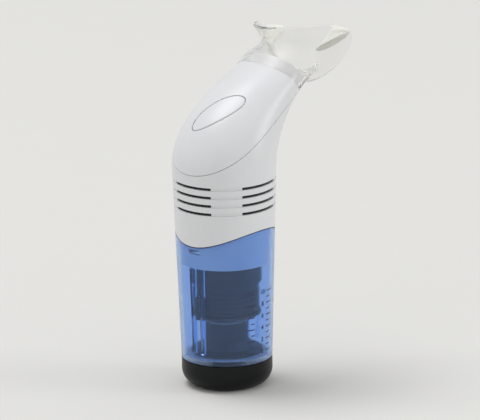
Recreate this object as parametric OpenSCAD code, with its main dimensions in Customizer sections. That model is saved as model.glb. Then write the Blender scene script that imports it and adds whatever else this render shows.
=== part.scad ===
// Threshold breathing trainer: a tapered body that stands on its adjuster knob, with a leaning handle
// that carries a soft mouthpiece. The knob turns a lead spindle, the spindle moves a spring carrier, and
// the spring holds the inhale valve shut. The origin is the centre of the knob's flat underside, +Z is up
// and the handle leans towards +X.

/* [Body] */
// Height of the adjuster knob
knob_h = 15; // [14:0.5:16]
// Outer radius where the sleeve meets the knob
foot_r = 24; // [23.5:0.25:24.5]
// Outer radius at the shoulder, where the handle begins
shoulder_r = 27.5; // [27:0.25:28]
// Height of the shoulder
shoulder_z = 119; // [118:0.5:121]
// Wall of the white body and cover
shell_wall = 2.2; // [1.8:0.1:2.4]
// Wall of the translucent sleeve
sleeve_wall = 2; // [1.6:0.1:2.2]
// Height of the sleeve's edge at the two sides, where its wave is highest
wave_top_z = 88; // [86:0.5:90]
// Height of the wave from its low to its high points
wave_rise = 8.5; // [6:0.5:10]

/* [Vents] */
// Rows of vent slots
vent_rows = 4; // [2:1:4]
// Groups of slots round the collar
vent_groups = 4; // [3:1:4]
// Angle that one slot covers
vent_angle = 54; // [40:1:60]
// Height of one slot
vent_h = 1.6; // [1:0.1:2]
// Distance between rows
vent_pitch = 4.6; // [4:0.1:4.8]
// Depth of the shallow grooves that join the slots
groove_depth = 0.5; // [0.3:0.1:0.8]

/* [Handle] */
// Centre of the handle's open end, forward of the body's axis
neck_x = 34.8; // [33:0.2:37]
// Height of that centre
neck_z = 159; // [157:0.5:161]
// Lean of the open end from the vertical
neck_tilt = 53.5; // [50:0.5:56]
// Half width of the open end
neck_w = 21; // [20:0.25:21.5]
// Half thickness of the open end
neck_h = 12.4; // [12:0.2:13.4]
// Length of the spigot that the mouthpiece sits on
spigot_l = 8; // [6:0.5:9]
// Length of the oval thumb pad
pad_l = 32; // [24:1:35]
// Width of the oval thumb pad
pad_w = 13.5; // [12:0.5:18]

/* [Mouthpiece] */
// Wall of the soft mouthpiece
mouth_wall = 2.2; // [1.8:0.1:2.6]
// Distance from the handle's end to the flange
mouth_l = 15.6; // [15:0.1:18]
// Half width of the flange
flange_w = 35.5; // [35:0.5:38]
// Reach of the flange above the mouthpiece's axis
flange_up = 19.6; // [17:0.1:21]
// Reach of the flange below the mouthpiece's axis
flange_down = 17.6; // [16:0.1:21]
// How far the flange's ends curve towards the user
flange_sweep = 18.5; // [11:0.5:20]
// Lean of the flange back over the handle's inner bend
flange_lean = 6; // [3:1:12]
// Turn of the soft flange on its neck, as the photograph shows it
flange_turn = 11.5; // [0:0.5:12]
// How far the soft neck bends aside between handle and flange, as the photograph shows it
neck_bend = 3; // [0:0.5:3]
// Thickness of the flange
flange_t = 1.6; // [1.2:0.1:2]
// Length of a bite tab
bite_l = 9; // [8:0.5:12]

/* [Load setting] */
// Levels on the load scale
load_levels = 10; // [8:1:10]
// Rise of the spring carrier for one level, which is one turn of the knob
level_rise = 3.27; // [3:0.01:3.4]
// Level that the trainer is set to
set_level = 5.4; // [0:0.1:8]
// Wire diameter of the load spring
wire_d = 1.6; // [1.2:0.1:1.8]
// Mean radius of the load spring
coil_r = 10.2; // [9.8:0.1:11]
// Turns of the load spring
coil_turns = 9; // [7:1:10]
// How far the inhale valve lifts
valve_lift = 2.5; // [1.5:0.1:3]

/* [Hidden] */

// Smoothness: points round a shell, steps along the handle, and round the soft mouthpiece
shell_points = 48;
handle_steps = 12;
mouth_points = 52;
screw_points = 20;
$fn = 48;

// One overrun serves every cut
over = 1;
// Clearances: a turning fit, a loose guide, and a seam between two casings
run_gap = 0.05;
guide_gap = 0.3;
seam_gap = 0.25;
// Gap that a soft or curved piece keeps from its seat
seat_gap = 0.1;

// Outer radius of the body at height z: one straight taper from knob to shoulder
function body_r(z) = foot_r + (z - knob_h) * (shoulder_r - foot_r) / (shoulder_z - knob_h);

// The sleeve and collar meet along the curve that a level cylinder cuts in the body
wave_body_r = body_r(wave_top_z);
wave_cut_r = (wave_body_r * wave_body_r + wave_rise * wave_rise) / (2 * wave_rise);
wave_cut_z = wave_top_z - wave_cut_r;

// Collar: the thick lower part holds the skirt that the sleeve snaps onto
skirt_wall = 1.5;
skirt_l = 20;
skirt_top_z = wave_top_z + 6 * skirt_wall;
skirt_low_z = wave_top_z - skirt_l;
window_w = 8.5;
window_h = 2.4;
window_drop = 11;
window_z = wave_top_z - window_drop;
lug_depth = 1.2;
vent_margin = 6;
vent_top_z = shoulder_z - vent_margin;

// Valve head: its deck rests on a ledge above the vents
deck_t = 2.5;
deck_drop = 4;
deck_z = shoulder_z - deck_drop;
ledge_t = 1.7;
ledge_w = 2.6;
deck_r = body_r(deck_z) - shell_wall - 2 * guide_gap;
rim_seal_d = 1.4;
rim_groove = 1;
lip_w = 1.4;
lip_h = 0.8;
spoke_w = 1.8;
spokes = 4;
exhale_holes = 10;
exhale_hole_r = 2.2;
spring_seat_drop = 20;
spring_seat_t = 2;
spring_seat_r = 13.5;

// Exhale flap and the ring that keeps it under the deck. Flap, exhale holes and inlet port follow the ledge.
flap_t = 0.8;
flap_w = 6.4;
flap_rim_gap = 1.36;
flap_high_r = body_r(deck_z) - shell_wall - ledge_w - flap_rim_gap;
flap_low_r = flap_high_r - flap_w;
flap_drop = 1;
exhale_hole_inset = 3;
exhale_ring_r = flap_low_r + exhale_hole_inset;
retainer_t = 0.8;
retainer_w = 1.6;
retainer_low_r = flap_low_r - retainer_w;
retainer_lip = 1.3;
port_inset = 2.6;
port_high_r = retainer_low_r - port_inset;

// Inhale valve and lead spindle
spindle_r = 3.2;
spindle_core_r = 2.5;
stem_wall = 1.3;
stem_l = 18;
stem_low_r = spindle_r + 2 * run_gap;
stem_r = stem_low_r + stem_wall;
guide_low_r = stem_r + guide_gap;
guide_wall = 1.6;
poppet_t = 2;
poppet_r = port_high_r + lip_w + 0.4 * lip_w;
seal_t = 0.6;
spindle_head_r = 5;
spindle_head_t = 2;
spindle_washer_t = 0.4;
drive_w = 4.4;
thread_steps = 6;
thread_crest_share = 0.25;
thread_root_share = 0.7;

// Sleeve floor, and the drive hub that turns in it
floor_gap = 0.4;
floor_t = 2;
floor_z = knob_h + floor_gap + floor_t;
hub_neck_r = 8;
hub_r = 11.5;
hub_flange_r = 19;
hub_flange_t = 1;
hub_flare = 6.5;
hub_top_z = 35;
hub_seal_d = 0.96;
washer_t = 0.8;
washer_r = 15;
socket_depth = 14;

// Knob
knob_round = 9;
knob_wall = 2.2;
knob_floor = 4.5;
knob_boss_r = 11;
hub_seat_z = 6;
cover_r = 9.8;
cover_t = 1.3;
screw_r = 1.6;
screw_head_r = 3.6;
screw_head_t = 2;

// Spring carrier: a skirt that passes over the hub, a web with the nut, and a cup for the spring
scale_zero_z = 21.3;
carrier_low_z = scale_zero_z + set_level * level_rise;
carrier_skirt_r = 17;
carrier_skirt_wall = 1.6;
carrier_skirt_l = 15;
carrier_web = 3;
carrier_cup_r = 19;
carrier_cup_wall = 1.6;
carrier_cup_l = 10;
carrier_foot_r = 18.3;
carrier_foot_t = 1.4;
carrier_ribs = 5;
rib_w = 0.9;
rib_t = 0.5;
rib_pitch = 2.5;
nut_r = 7;
nut_l = 7;
nut_gap = 0.15;
key_r = 21.3;
key_w = 4;
key_l = carrier_skirt_l - carrier_web;
rail_r = 20;
rail_w = 1.3;
rail_clear = 1;
rail_low_z = floor_z + 3 * rail_clear;
rail_high_z = skirt_low_z - rail_clear;
key_turn = 90;
web_low_z = carrier_low_z + carrier_skirt_l;
web_top_z = web_low_z + carrier_web;

// Load spring: it stands on the carrier's web and pushes on the washer under the valve head
spring_washer_t = 0.8;
spring_top_z = deck_z - spring_seat_drop - spring_washer_t;
spring_sides = 6;
spring_turn_steps = 24;
end_turn_share = 0.1;

// Handle: one curve along the outer bend and one along the inner bend, each a cubic in x and z
ridge_start_pull = 27.5;
ridge_end_pull = 22.5;
ridge_end_tilt = 69;
inner_start_pull = 10.5;
inner_end_pull = 8;
inner_end_tilt = 29;
neck_power = 2.1;
seam_low_z = shoulder_z + 2 * seam_gap;
seam_end_share = 0.45;
seam_bulge = 2.5;
seam_points = 12;
spigot_wall = 1.8;
spigot_root = 3;
pad_step_share = 0.494;
pad_side = 3;
pad_turn = -32;
pad_line = 0.8;
pad_depth = 0.45;

// Mouthpiece details
mouth_gap = 0.3;
flange_fillet = 2.4;
neck_draw = 1.2;
neck_straight = spigot_l + mouth_gap;
flange_power = 1.95;
sweep_power = 2.1;
bite_t = 3.2;
bite_w = 12;
bite_y = 26.5;
bite_lug = 0.8;
ball_points = 16;

// Cubic curve through p[0] and p[3] with the pull points p[1] and p[2]
function cubic(p, t) = pow(1 - t, 3) * p[0] + 3 * pow(1 - t, 2) * t * p[1]
    + 3 * (1 - t) * pow(t, 2) * p[2] + pow(t, 3) * p[3];
function lean(angle) = [sin(angle), cos(angle)];
function across(angle) = [cos(angle), -sin(angle)];

neck = [neck_x, neck_z];
ridge_start = [-shoulder_r, shoulder_z];
ridge_end = neck - neck_h * across(neck_tilt);
inner_start = [shoulder_r, shoulder_z];
inner_end = neck + neck_h * across(neck_tilt);
ridge_curve = [ridge_start, ridge_start + ridge_start_pull * lean(0),
    ridge_end - ridge_end_pull * lean(ridge_end_tilt), ridge_end];
inner_curve = [inner_start, inner_start + inner_start_pull * lean(0),
    inner_end - inner_end_pull * lean(inner_end_tilt), inner_end];

// A section of the handle at share t of its length
function ridge(t) = cubic(ridge_curve, t);
function inner(t) = cubic(inner_curve, t);
function section_mid(t) = (ridge(t) + inner(t)) / 2;
function section_h(t) = norm(ridge(t) - inner(t)) / 2;
function section_tilt(t) = atan2(ridge(t)[1] - inner(t)[1], inner(t)[0] - ridge(t)[0]);
function section_w(t) = shoulder_r + (neck_w - shoulder_r) * t * t * (3 - 2 * t);
function section_power(t) = 2 + (neck_power - 2) * t;

// Points of an oval with half sizes a and b, squarer as power grows past 2
function oval(a, b, power, count) = [for (i = [0:count - 1])
    let (c = cos(360 * i / count), s = sin(360 * i / count))
    [a * sign(c) * pow(abs(c), 2 / power), b * sign(s) * pow(abs(s), 2 / power)]];

// Places its children on the plane of the handle's open end, with +Z along the mouthpiece
module at_neck() {
    translate([neck_x, 0, neck_z])
        rotate([0, neck_tilt, 0])
            children();
}

// Ring of points round the handle at share t, smaller by inset and moved by shift in x and z
function handle_ring(t, inset, shift) =
    let (mid = section_mid(t) + shift, side = across(section_tilt(t)),
        ring = oval(section_h(t) - inset, section_w(t) - inset, section_power(t), shell_points))
    [for (p = ring) [mid[0] + p[0] * side[0], p[1], mid[1] + p[0] * side[1]]];

// Closed form through rings that all have the same number of points
module ring_form(rings) {
    n = len(rings[0]);
    last = len(rings) - 1;
    sides = [for (i = [0:last - 1], k = [0:n - 1])
        let (a = i * n + k, b = i * n + (k + 1) % n)
        each [[a, b + n, b], [a, a + n, b + n]]];
    low_cap = [for (k = [1:n - 2]) [0, k, k + 1]];
    high_cap = [for (k = [1:n - 2]) [last * n, last * n + k + 1, last * n + k]];
    polyhedron([for (ring = rings) each ring], concat(sides, low_cap, high_cap), convexity = 10);
}

// Solid form of the handle, smaller by inset, that runs past both ends by overrun
module handle_form(inset, overrun = 0) {
    ring_form([
        if (overrun > 0) handle_ring(0, inset, [0, -overrun]),
        for (i = [0:handle_steps]) handle_ring(i / handle_steps, inset, [0, 0]),
        if (overrun > 0) handle_ring(1, inset, overrun * lean(neck_tilt))]);
}

// Solid cone of the body between two heights, smaller by inset
module body_form(low_z, high_z, inset) {
    translate([0, 0, low_z])
        cylinder(h = high_z - low_z, r1 = body_r(low_z) - inset, r2 = body_r(high_z) - inset);
}

// Everything above the seam between body and cover, moved up by lift
seam_start = [-shoulder_r, seam_low_z];
seam_end = neck + seam_end_share * neck_h * across(neck_tilt);
seam_run = seam_end - seam_start;
seam_side = [-seam_run[1], seam_run[0]] / norm(seam_run);
function seam_point(t) = seam_start + t * seam_run + 4 * t * (1 - t) * seam_bulge * seam_side;
module above_seam(lift) {
    reach = neck_z + flange_w;
    rotate([90, 0, 0])
        linear_extrude(2 * reach, center = true)
            translate([0, lift])
                polygon(concat(
                    [[-reach, seam_low_z]],
                    [for (i = [0:seam_points]) seam_point(i / seam_points)],
                    [seam_end + reach * lean(neck_tilt), [-reach, 2 * reach]]));
}

// Solid that the wavy edge of the sleeve is cut with
module wave_form(grow) {
    translate([0, 0, wave_cut_z])
        rotate([90, 0, 0])
            cylinder(h = 4 * shoulder_r, r = wave_cut_r + grow, center = true);
}

// One vent slot or groove that reaches in from outside
module vent_ring(z, depth, angle) {
    outside = shoulder_r + over;
    rotate([0, 0, -angle / 2])
        rotate_extrude(angle = angle)
            translate([body_r(z) - depth, z - vent_h / 2])
                square([outside + depth, vent_h]);
}

module vents() {
    for (row = [0:vent_rows - 1]) {
        z = vent_top_z - row * vent_pitch;
        vent_ring(z, groove_depth, 360);
        for (group = [0:vent_groups - 1])
            rotate([0, 0, group * 360 / vent_groups])
                vent_ring(z, shell_wall + over, vent_angle);
    }
}

// Windows in the skirt, front and back, that the sleeve's lugs snap into
module latch_windows() {
    for (side = [0, 180])
        rotate([0, 0, side])
            translate([-shoulder_r, -window_w / 2, window_z - window_h / 2])
                cube([shoulder_r, window_w, window_h]);
}

// Rear half of the handle, the vented collar, the ledge for the valve head, and the skirt
module main_body() {
    color("white")
    difference() {
        union() {
            difference() {
                handle_form(seat_gap, over);
                above_seam(-seam_gap);
                at_neck()
                    cylinder(h = 2 * over, r = neck_w + neck_h);
            }
            body_form(skirt_low_z, shoulder_z, 0);
        }
        handle_form(shell_wall, 2 * over);
        body_form(deck_z, shoulder_z + seat_gap, shell_wall - seat_gap);
        body_form(deck_z - ledge_t - seat_gap, deck_z + seat_gap, shell_wall + ledge_w);
        body_form(skirt_top_z, deck_z - ledge_t, shell_wall);
        body_form(skirt_low_z - over, skirt_top_z + seat_gap, sleeve_wall + seat_gap + skirt_wall);
        vents();
        latch_windows();
        intersection() {
            difference() {
                body_form(skirt_low_z - over, wave_top_z + over, -over);
                body_form(skirt_low_z - 2 * over, wave_top_z + 2 * over, sleeve_wall + seat_gap);
            }
            wave_form(seam_gap);
        }
    }
}

// Shallow line round the oval thumb pad on the outer bend
module pad_outline() {
    t = pad_step_share;
    along = ridge(t + 1 / handle_steps) - ridge(t - 1 / handle_steps);
    intersection() {
        translate([ridge(t)[0], -pad_side, ridge(t)[1]])
            rotate([0, atan2(along[0], along[1]) - 90, pad_turn])
                linear_extrude(2 * neck_h, center = true)
                    difference() {
                        polygon(oval(pad_l / 2, pad_w / 2, 2, shell_points));
                        polygon(oval(pad_l / 2 - pad_line, pad_w / 2 - pad_line, 2, shell_points));
                    }
        difference() {
            handle_form(-over, over);
            handle_form(pad_depth, 2 * over);
        }
    }
}

// Oval tube on the handle's end plane
module neck_tube(low, high, outer_inset, inner_inset) {
    at_neck()
        translate([0, 0, low])
            linear_extrude(high - low)
                difference() {
                    polygon(oval(neck_h - outer_inset, neck_w - outer_inset, neck_power, shell_points));
                    polygon(oval(neck_h - inner_inset, neck_w - inner_inset, neck_power, shell_points));
                }
}

// Front half of the handle with the spigot that carries the mouthpiece
spigot_inset = mouth_wall + mouth_gap;
module handle_cover() {
    color("whitesmoke")
    union() {
        difference() {
            intersection() {
                union() {
                    difference() {
                        handle_form(seat_gap);
                        handle_form(shell_wall, over);
                    }
                    neck_tube(-spigot_root, 0, shell_wall / 2, spigot_inset + spigot_wall);
                }
                above_seam(0);
            }
            pad_outline();
        }
        neck_tube(-spigot_root, spigot_l, spigot_inset, spigot_inset + spigot_wall);
    }
}

// Two rails inside the sleeve on each side, with the carrier's key between them
module sleeve_rails() {
    gap = key_w / 2 + guide_gap;
    intersection() {
        for (side = [0, 180], edge = [-1, 1])
            rotate([0, 0, side + key_turn])
                translate([edge * (gap + rail_w / 2) - rail_w / 2, rail_r, rail_low_z])
                    cube([rail_w, shoulder_r - rail_r, rail_high_z - rail_low_z]);
        body_form(floor_z - over, rail_high_z + over, sleeve_wall / 2);
    }
}

module sleeve_lugs() {
    intersection() {
        for (side = [0, 180])
            rotate([0, 0, side])
                translate([sleeve_wall / 2 - body_r(window_z), seat_gap - window_w / 2,
                    window_z - window_h / 2 + seat_gap])
                    cube([sleeve_wall / 2 + lug_depth, window_w - 2 * seat_gap, window_h - 2 * seat_gap]);
        body_form(window_z - window_h, window_z + window_h, sleeve_wall / 2);
    }
}

// Translucent sleeve with its floor, its rails, and a wavy upper edge
module load_sleeve() {
    low_z = knob_h + floor_gap;
    color("royalblue", 0.6)
    union() {
        intersection() {
            rotate_extrude()
                polygon([
                    [hub_neck_r + run_gap, low_z],
                    [body_r(low_z), low_z],
                    [body_r(wave_top_z), wave_top_z],
                    [body_r(wave_top_z) - sleeve_wall, wave_top_z],
                    [body_r(floor_z) - sleeve_wall, floor_z],
                    [hub_neck_r + run_gap, floor_z]]);
            wave_form(0);
        }
        sleeve_rails();
        sleeve_lugs();
    }
}

// Deck with the inlet port, its seat lip, the exhale holes, the stem guide and the spring seat
module valve_head() {
    top_z = deck_z + deck_t;
    seat_z = deck_z - spring_seat_drop;
    guide_r = guide_low_r + guide_wall;
    groove_low_z = deck_z + (deck_t - rim_seal_d) / 2 - run_gap;
    groove_high_z = groove_low_z + rim_seal_d + 2 * run_gap;
    color("gainsboro")
    difference() {
        union() {
            rotate_extrude()
                polygon([
                    [port_high_r, deck_z],
                    [deck_r, deck_z],
                    [deck_r, groove_low_z],
                    [deck_r - rim_groove, groove_low_z],
                    [deck_r - rim_groove, groove_high_z],
                    [deck_r, groove_high_z],
                    [deck_r, top_z],
                    [port_high_r + lip_w, top_z],
                    [port_high_r + lip_w, top_z + lip_h],
                    [port_high_r, top_z + lip_h]]);
            rotate_extrude()
                polygon([
                    [guide_low_r, seat_z],
                    [spring_seat_r, seat_z],
                    [spring_seat_r, seat_z + spring_seat_t],
                    [guide_r, seat_z + spring_seat_t],
                    [guide_r, top_z],
                    [guide_low_r, top_z]]);
            for (spoke = [0:spokes - 1])
                rotate([0, 0, (spoke + 1 / 2) * 360 / spokes])
                    translate([guide_r - guide_wall / 2, -spoke_w / 2, deck_z + seat_gap])
                        cube([port_high_r - guide_r + (guide_wall + lip_w) / 2, spoke_w,
                            deck_t - 2 * seat_gap]);
        }
        for (hole = [0:exhale_holes - 1])
            rotate([0, 0, (hole + 1 / 2) * 360 / exhale_holes])
                translate([exhale_ring_r, 0, deck_z - over])
                    cylinder(h = deck_t + 2 * over, r = exhale_hole_r);
    }
}

// A plain ring of round section
module round_ring(z, ring_r, section_r) {
    translate([0, 0, z])
        rotate_extrude()
            translate([ring_r, 0])
                circle(section_r);
}

// A flat ring
module flat_ring(low_z, t, low_r, high_r) {
    translate([0, 0, low_z])
        difference() {
            cylinder(h = t, r = high_r);
            translate([0, 0, -over])
                cylinder(h = t + 2 * over, r = low_r);
        }
}

module valve_head_seal() {
    color("dimgray")
        round_ring(deck_z + deck_t / 2, deck_r - rim_groove + rim_seal_d / 2, rim_seal_d / 2);
}

// Ring under the deck with a lip that the flap drops onto
flap_low_z = deck_z - flap_t - seat_gap;
module flap_retainer() {
    catch_z = flap_low_z - flap_drop - seat_gap - retainer_t;
    color("lightgray")
    rotate_extrude()
        polygon([
            [retainer_low_r, catch_z],
            [flap_low_r + retainer_lip, catch_z],
            [flap_low_r + retainer_lip, catch_z + retainer_t],
            [flap_low_r - guide_gap, catch_z + retainer_t],
            [flap_low_r - guide_gap, deck_z],
            [retainer_low_r, deck_z]]);
}

module exhale_flap() {
    color("lightblue")
        flat_ring(flap_low_z, flap_t, flap_low_r, flap_high_r);
}

// Poppet disc with the hollow stem that slides in the valve head
lip_z = deck_z + deck_t + lip_h;
poppet_z = lip_z + seat_gap + seal_t;
module inhale_poppet() {
    color("white")
    difference() {
        union() {
            translate([0, 0, poppet_z])
                cylinder(h = poppet_t, r = poppet_r);
            translate([0, 0, poppet_z - stem_l])
                cylinder(h = stem_l + poppet_t, r = stem_r);
        }
        translate([0, 0, poppet_z - stem_l - over])
            cylinder(h = stem_l + poppet_t + 2 * over, r = stem_low_r);
    }
}

module poppet_seal() {
    color("lightblue")
        flat_ring(poppet_z - seal_t, seal_t, port_high_r - lip_w / 2, poppet_r);
}

// Lead spindle: a head on the poppet, a plain shank, a left-hand thread, so that turning the knob
// clockwise from below raises the load, and a square drive end
head_z = poppet_z + poppet_t + spindle_washer_t + seat_gap;
thread_high_z = web_top_z + (load_levels - set_level) * level_rise + nut_l + level_rise;
drive_top_z = hub_top_z + level_rise / 4;
drive_low_z = hub_top_z - socket_depth + valve_lift;

// One slice of the thread's ridge at a turn angle
module thread_slice(angle) {
    z = drive_top_z + level_rise / 2 + angle / 360 * level_rise;
    root = thread_root_share * level_rise / 2;
    crest = thread_crest_share * level_rise / 2;
    translate([0, 0, z])
        rotate([90, 0, -angle])
            linear_extrude(seat_gap / 2, center = true)
                polygon([[spindle_core_r - seat_gap, -root], [spindle_r, -crest], [spindle_r, crest],
                    [spindle_core_r - seat_gap, root]]);
}

module lead_spindle() {
    turn = 360 / thread_steps;
    last = floor((thread_high_z - drive_top_z - level_rise) / level_rise * thread_steps);
    color("silver")
    union() {
        translate([0, 0, head_z])
            cylinder(h = spindle_head_t, r = spindle_head_r, $fn = screw_points);
        translate([0, 0, thread_high_z])
            cylinder(h = head_z + seat_gap - thread_high_z, r = spindle_r, $fn = screw_points);
        translate([0, 0, drive_top_z - seat_gap])
            cylinder(h = thread_high_z - drive_top_z + 2 * seat_gap, r = spindle_core_r,
                $fn = screw_points);
        translate([-drive_w / 2, -drive_w / 2, drive_low_z])
            cube([drive_w, drive_w, drive_top_z - drive_low_z]);
        for (i = [0:last - 1])
            hull() {
                thread_slice(i * turn);
                thread_slice((i + 1) * turn);
            }
    }
}

module spindle_washer() {
    color("gold")
        flat_ring(head_z - seat_gap / 2 - spindle_washer_t, spindle_washer_t, spindle_r + guide_gap,
            spindle_head_r + guide_gap);
}

module spring_washer() {
    color("silver")
        flat_ring(spring_top_z, spring_washer_t, coil_r - 1.5 * wire_d, coil_r + 1.5 * wire_d);
}

// Load spring: a round wire along a helix whose end turns lie closer together
spring_low = web_top_z + seat_gap + wire_d / 2;
spring_high = spring_top_z - seat_gap - wire_d / 2;
end_rise = end_turn_share * (spring_high - spring_low);
function spring_rise(turn) = turn < 1 ? end_rise * turn
    : turn > coil_turns - 1 ? spring_high - spring_low - end_rise * (coil_turns - turn)
    : end_rise + (turn - 1) * (spring_high - spring_low - 2 * end_rise) / (coil_turns - 2);
spring_steps = coil_turns * spring_turn_steps;
function spring_point(i, k) =
    let (turn = i / spring_turn_steps, angle = 360 * turn, side = 360 * (k + 1 / 2) / spring_sides,
        r = coil_r + wire_d / 2 * cos(side))
    [r * cos(angle), r * sin(angle), spring_low + spring_rise(turn) + wire_d / 2 * sin(side)];
module load_spring() {
    steps = spring_steps;
    points = [for (i = [0:steps], k = [0:spring_sides - 1]) spring_point(i, k)];
    sides = [for (i = [0:steps - 1], k = [0:spring_sides - 1])
        let (a = i * spring_sides + k, b = i * spring_sides + (k + 1) % spring_sides)
        each [[a, b, b + spring_sides], [a, b + spring_sides, a + spring_sides]]];
    start_cap = [for (k = [1:spring_sides - 2]) [0, k + 1, k]];
    end_cap = [for (k = [1:spring_sides - 2]) [0, k, k + 1] + steps * spring_sides * [1, 1, 1]];
    color("lightsteelblue")
        polyhedron(points, concat(sides, start_cap, end_cap), convexity = 10);
}
// Least gap of the wire to itself, between the points of each ring and of the rings about one turn on
spring_wire_gap = min([for (i = [0:spring_steps - spring_turn_steps - 1], j = [-1:1],
    k = [0:spring_sides - 1], m = [0:spring_sides - 1])
    norm(spring_point(i, k) - spring_point(i + j + spring_turn_steps, m))]);
echo(spring_wire_gap = spring_wire_gap);

// Carrier: a turned form with ribs on its skirt, two keys that run between the sleeve's rails
module spring_carrier() {
    top_z = web_top_z + carrier_cup_l;
    color("darkslategray")
    difference() {
        union() {
            rotate_extrude()
                polygon([
                    [spindle_r + nut_gap, web_low_z],
                    [carrier_skirt_r - carrier_skirt_wall, web_low_z],
                    [carrier_skirt_r - carrier_skirt_wall, carrier_low_z],
                    [carrier_foot_r, carrier_low_z],
                    [carrier_foot_r, carrier_low_z + carrier_foot_t],
                    [carrier_skirt_r, carrier_low_z + carrier_foot_t],
                    [carrier_skirt_r, web_top_z],
                    [carrier_cup_r, web_top_z],
                    [carrier_cup_r, top_z],
                    [carrier_cup_r - carrier_cup_wall, top_z],
                    [carrier_cup_r - carrier_cup_wall, web_top_z],
                    [nut_r, web_top_z],
                    [nut_r, web_top_z + nut_l],
                    [spindle_r + nut_gap, web_top_z + nut_l]]);
            for (rib = [0:carrier_ribs - 1])
                flat_ring(carrier_low_z + carrier_foot_t + rib_pitch / 2 + rib * rib_pitch, rib_w,
                    carrier_skirt_r - carrier_skirt_wall / 2, carrier_skirt_r + rib_t);
            for (side = [0, 180])
                rotate([0, 0, side + key_turn])
                    translate([-key_w / 2, carrier_skirt_r - carrier_skirt_wall / 2, carrier_low_z])
                        cube([key_w, key_r - carrier_skirt_r + carrier_skirt_wall / 2, key_l]);
        }
        translate([0, 0, web_low_z - over])
            cylinder(h = carrier_web + nut_l + 2 * over, r = spindle_r + nut_gap);
    }
}

// Drive hub: it turns in the sleeve floor and drives the spindle's square end
hub_low_z = floor_z + washer_t + 2 * run_gap;
module drive_hub() {
    flare_r = (hub_r + hub_flange_r) / 2 - hub_flange_t;
    color("darkslategray")
    difference() {
        rotate_extrude()
            polygon([
                [0, hub_seat_z],
                [hub_neck_r, hub_seat_z],
                [hub_neck_r, hub_low_z],
                [hub_flange_r, hub_low_z],
                [hub_flange_r, hub_low_z + hub_flange_t],
                [flare_r, hub_low_z + hub_flare / 3],
                [hub_r, hub_low_z + hub_flare],
                [hub_r, hub_top_z],
                [0, hub_top_z]]);
        translate([-drive_w / 2 - guide_gap / 2, -drive_w / 2 - guide_gap / 2, hub_top_z - socket_depth])
            cube([drive_w + guide_gap, drive_w + guide_gap, socket_depth + over]);
        round_ring(floor_z - floor_t / 2, hub_neck_r - hub_seal_d / 2, hub_seal_d / 2 + run_gap / 2);
        translate([0, 0, hub_seat_z - over])
            cylinder(h = hub_neck_r + over, r = screw_r);
    }
}

module hub_seal() {
    color("dimgray")
        round_ring(floor_z - floor_t / 2, hub_neck_r - hub_seal_d / 2, hub_seal_d / 2);
}

module thrust_washer() {
    color("ivory")
        flat_ring(floor_z + run_gap, washer_t, hub_neck_r + run_gap, washer_r);
}

// Knob: a rounded cup with a boss that holds the hub
module adjuster_knob() {
    inner_round = knob_round - knob_wall;
    inner_r = foot_r - knob_wall;
    color("black")
    difference() {
        rotate_extrude()
            difference() {
                intersection() {
                    square([foot_r, knob_h]);
                    union() {
                        square([foot_r - knob_round, knob_h]);
                        translate([0, knob_round])
                            square([foot_r, knob_h - knob_round]);
                        translate([foot_r - knob_round, knob_round])
                            circle(knob_round);
                    }
                }
                translate([knob_boss_r, knob_floor + inner_round])
                    square([inner_r - knob_boss_r, knob_h]);
                translate([knob_boss_r, knob_floor])
                    square([inner_r - inner_round - knob_boss_r, knob_h]);
                intersection() {
                    translate([inner_r - inner_round, knob_floor + inner_round])
                        circle(inner_round);
                    translate([knob_boss_r, knob_floor])
                        square([inner_r - knob_boss_r, knob_h]);
                }
            }
        translate([0, 0, hub_seat_z])
            cylinder(h = knob_h, r = hub_neck_r + run_gap);
        translate([0, 0, -over])
            cylinder(h = hub_seat_z + 2 * over, r = screw_r + guide_gap);
        translate([0, 0, -over])
            cylinder(h = over + cover_t + seat_gap + screw_head_t + seat_gap, r = screw_head_r + guide_gap);
        translate([0, 0, -over])
            cylinder(h = over + cover_t, r = cover_r + seat_gap);
    }
}

// Screw from below that clamps the knob to the hub
module hub_screw() {
    head_low_z = cover_t + seat_gap;
    color("silver")
    union() {
        translate([0, 0, head_low_z])
            cylinder(h = screw_head_t, r = screw_head_r);
        translate([0, 0, head_low_z + screw_head_t / 2])
            cylinder(h = hub_seat_z + hub_neck_r / 2 - head_low_z, r = screw_r - run_gap);
    }
}

module screw_cover() {
    color("black")
        cylinder(h = cover_t, r = cover_r);
}

// Mouthpiece: its section, from the neck out to the flange's rim and back, swept round an oval.
// Each entry gives a share of the way from neck to rim, a height, and an inset of the neck wall.
function rim(angle) =
    let (c = cos(angle), s = sin(angle), reach = c < 0 ? flange_up : flange_down)
    [reach * sign(c) * pow(abs(c), 2 / flange_power), flange_w * sign(s) * pow(abs(s), 2 / flange_power)];
function neck_edge(angle, inset, bent) =
    let (c = cos(angle), s = sin(angle), less = inset + bent * neck_draw)
    [(neck_h - less) * sign(c) * pow(abs(c), 2 / neck_power),
        (neck_w - less) * sign(s) * pow(abs(s), 2 / neck_power) - bent * neck_bend];
function sweep_at(y) = flange_sweep * pow(abs(y) / flange_w, sweep_power);
function turned_back(p) = let (c = cos(flange_turn), s = sin(flange_turn), y = p[1] + neck_bend)
    [p[0] * c - y * s, y * c + p[0] * s];
function turned(p) = let (c = cos(flange_turn), s = sin(flange_turn))
    [p[0] * c + p[1] * s, p[1] * c - p[0] * s - neck_bend];
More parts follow.
